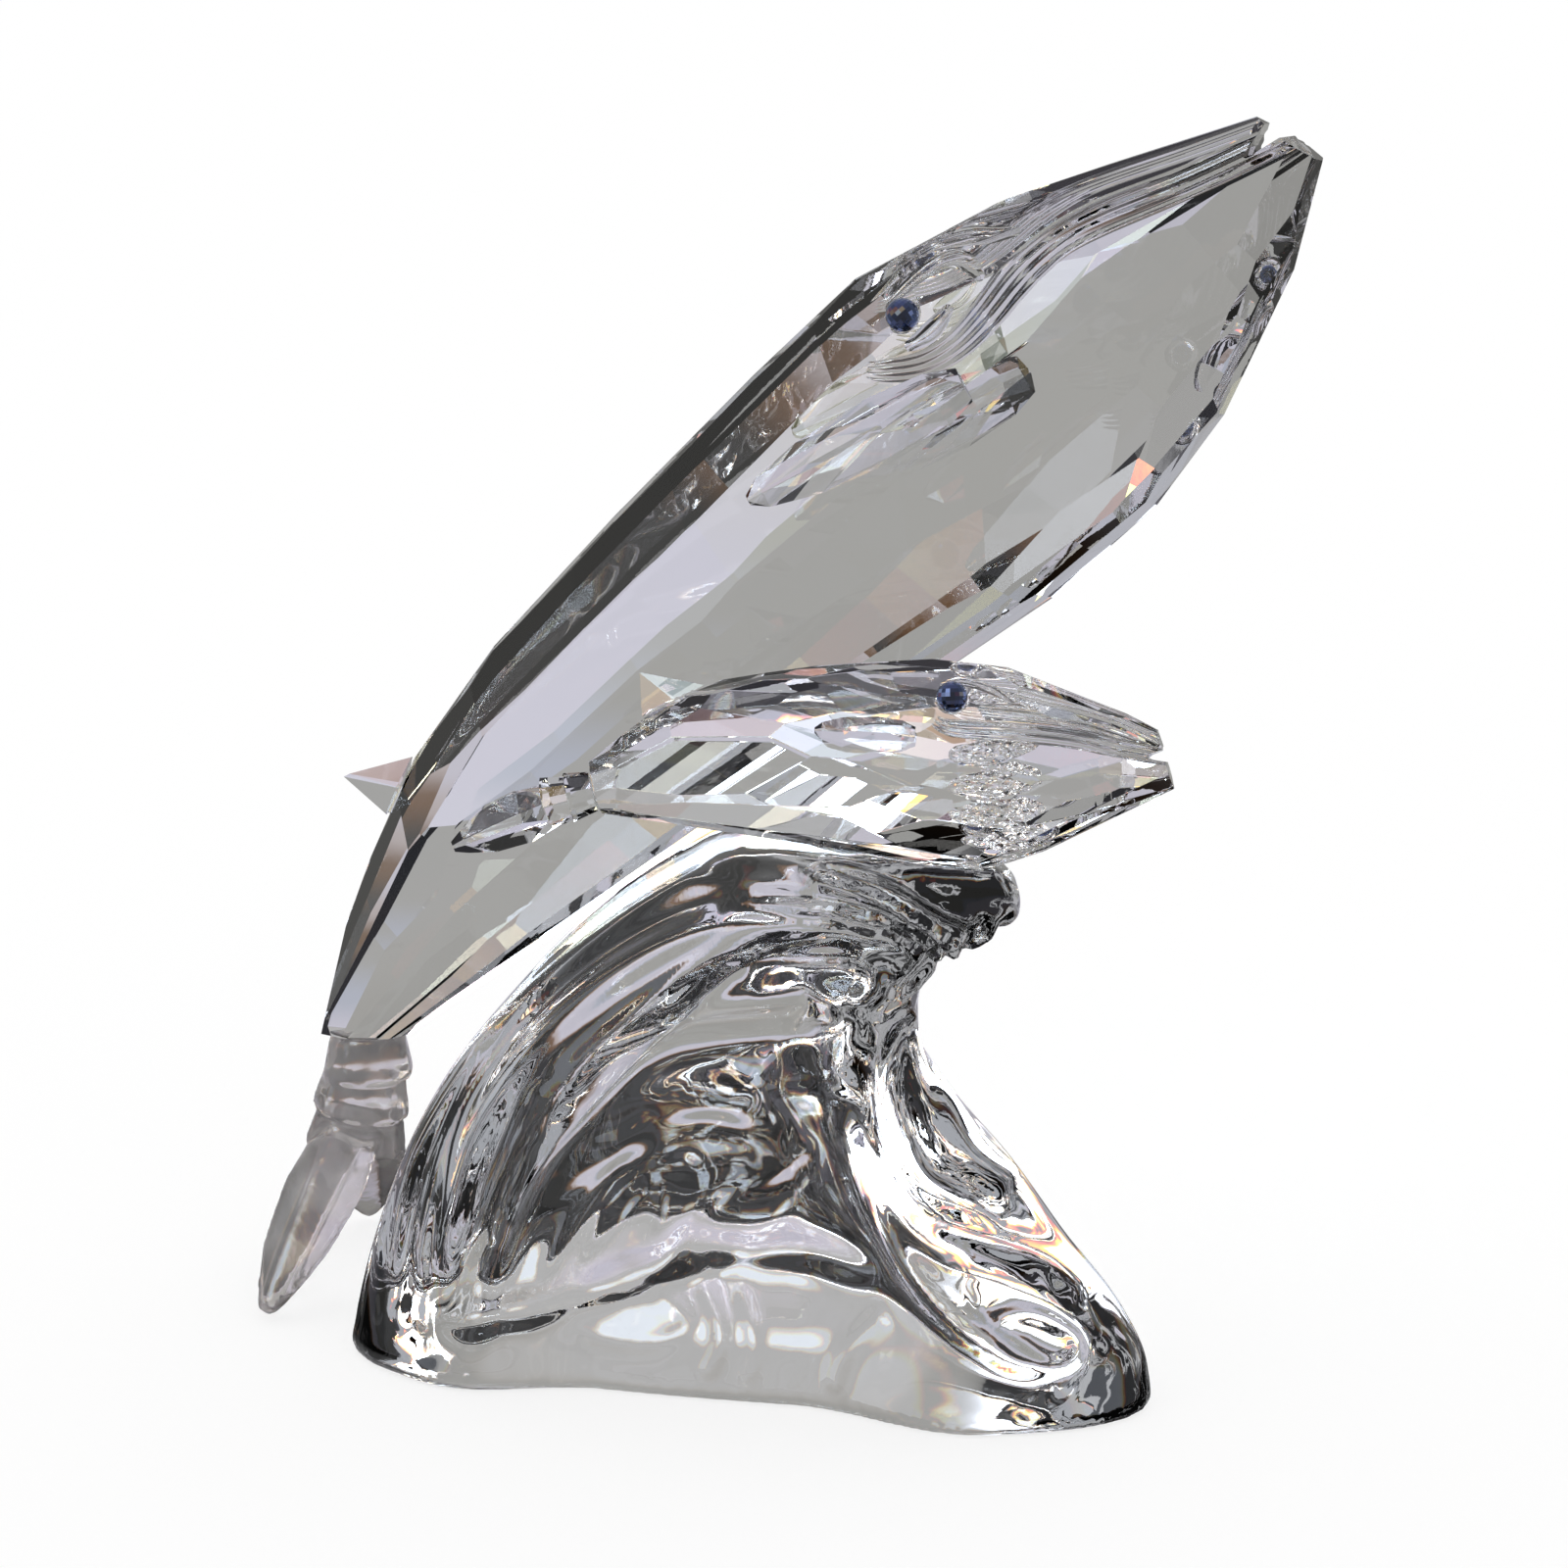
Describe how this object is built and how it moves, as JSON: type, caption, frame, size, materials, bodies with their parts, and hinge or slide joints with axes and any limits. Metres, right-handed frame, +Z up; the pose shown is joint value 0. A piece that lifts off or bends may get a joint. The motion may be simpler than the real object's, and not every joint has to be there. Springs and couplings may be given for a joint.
{
  "type": "whale figurine",
  "caption": "Faceted crystal whale and calf glued to a curling wave base, a tabletop figurine with a flat underside.",
  "frame": {"origin": "on the flat underside of the wave, under its middle", "axes": "+Z up, +X towards the whales' snouts, -Y towards the side that the calf is on"},
  "size_m": [0.1088, 0.0741, 0.128],
  "materials": {
    "clear_crystal": "cut and polished crystal glass, clear",
    "eye_bead": "polished blue-black metal"
  },
  "bodies": {
    "root": {"wave_base": "clear_crystal", "mother_body": "clear_crystal", "mother_tail": "clear_crystal", "mother_dorsal_fin": "clear_crystal", "mother_flipper_right": "clear_crystal", "mother_flipper_left": "clear_crystal", "mother_eye_right": "eye_bead", "mother_eye_left": "eye_bead", "calf_body": "clear_crystal", "calf_tail": "clear_crystal", "calf_dorsal_fin": "clear_crystal", "calf_flipper_right": "clear_crystal", "calf_flipper_left": "clear_crystal", "calf_eye_right": "eye_bead", "calf_eye_left": "eye_bead"}
  },
  "joints": []
}
